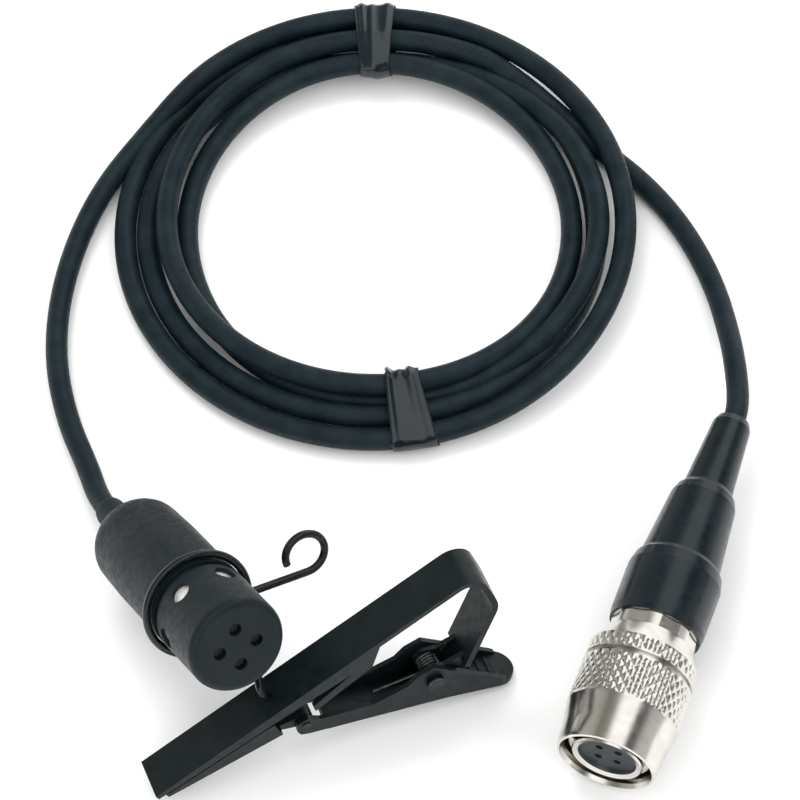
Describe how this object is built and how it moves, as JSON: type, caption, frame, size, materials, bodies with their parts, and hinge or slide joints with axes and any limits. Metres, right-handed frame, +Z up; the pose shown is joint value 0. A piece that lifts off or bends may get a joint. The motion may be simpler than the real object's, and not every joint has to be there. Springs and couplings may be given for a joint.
{
  "type": "lavalier microphone",
  "caption": "Miniature clip-on microphone held by a wire ring on a spring tie clip, with its thin cable coiled and tied and a push-pull circular connector at the end.",
  "frame": {"origin": "on the surface that everything lies on, under the middle of the footprint of the microphone, its wire holder and its clip", "axes": "+Z up from that surface; +X level, along the longer side of the footprint of the microphone, holder and clip; +Y level, towards the coiled cable"},
  "size_m": [0.0723, 0.0945, 0.0219],
  "materials": {
    "mic_black": "matte",
    "screen_mesh": "woven mesh",
    "front_cloth": "woven",
    "capsule_metal": "satin",
    "soft_rubber": "matte",
    "circuit_board": "solder mask",
    "chip_black": "matte",
    "wire_insulation": "satin",
    "cable_jacket": "matte",
    "crimp_brass": "satin",
    "ring_enamel": "gloss",
    "clip_enamel": "satin",
    "pin_steel": "blackened",
    "spring_steel": "satin",
    "tape_gloss": "gloss",
    "bright_nickel": "bright",
    "insert_black": "matte",
    "contact_gold": "bright",
    "boot_gloss": "gloss"
  },
  "bodies": {
    "microphone": {"board_parts": "chip_black", "cable_boot": "soft_rubber", "cable_coil": "cable_jacket", "cable_collet": "crimp_brass", "cable_crimp": "crimp_brass", "capsule_gasket": "soft_rubber", "circuit_board": "circuit_board", "clamp_nut": "bright_nickel", "contact_insert": "insert_black", "electret_capsule": "capsule_metal", "front_cap": "mic_black", "front_screen": "front_cloth", "inner_wires": "wire_insulation", "locking_claws": "bright_nickel", "mic_cable_end": "cable_jacket", "mic_housing": "mic_black", "mic_lead": "cable_jacket", "plug_boot": "boot_gloss", "plug_cable_end": "cable_jacket", "plug_lead": "cable_jacket", "plug_shell": "bright_nickel", "port_screen": "screen_mesh", "sleeve_spring": "spring_steel", "socket_contacts": "contact_gold", "tie_far": "tape_gloss", "tie_near": "tape_gloss"},
    "holder": {"holder_ring": "ring_enamel"},
    "clip": {"clip_bar": "clip_enamel", "pivot_pin": "pin_steel"},
    "lever": {"clip_lever": "clip_enamel", "jaw_pin": "pin_steel", "torsion_spring": "spring_steel"},
    "jaw": {"clip_jaw": "clip_enamel"},
    "sleeve": {"coupling_sleeve": "bright_nickel"}
  },
  "joints": [
    {"name": "ring_turn", "type": "hinge", "parent": "microphone", "child": "holder", "pos_m": [-0.00983, -0.00077, 0.01344], "axis": [0.454, -0.7496, 0.4818], "continuous": true},
    {"name": "clip_swivel", "type": "hinge", "parent": "holder", "child": "clip", "pos_m": [-0.00318, -0.00859, 0.00898], "axis": [-0.4697, -0.0359, 0.8821], "range_deg": [-20, 30]},
    {"name": "lever_squeeze", "type": "hinge", "parent": "clip", "child": "lever", "pos_m": [0.01228, -0.00313, 0.00519], "axis": [0.3623, -0.919, 0.1555], "range_deg": [0, 18], "stiffness_Nm_per_rad": 0.01, "springref_deg": -20.05, "deforming": ["torsion_spring"]},
    {"name": "jaw_rock", "type": "hinge", "parent": "lever", "child": "jaw", "pos_m": [-0.00012, -0.00802, 0.00519], "axis": [0.3623, -0.919, 0.1555], "range_deg": [0, 10]},
    {"name": "sleeve_pull", "type": "slide", "parent": "microphone", "child": "sleeve", "axis": [0.3453, 0.9385, 0], "range_m": [0, 0.0013], "stiffness_N_per_m": 300, "springref_m": -0.003, "deforming": ["sleeve_spring"]}
  ]
}
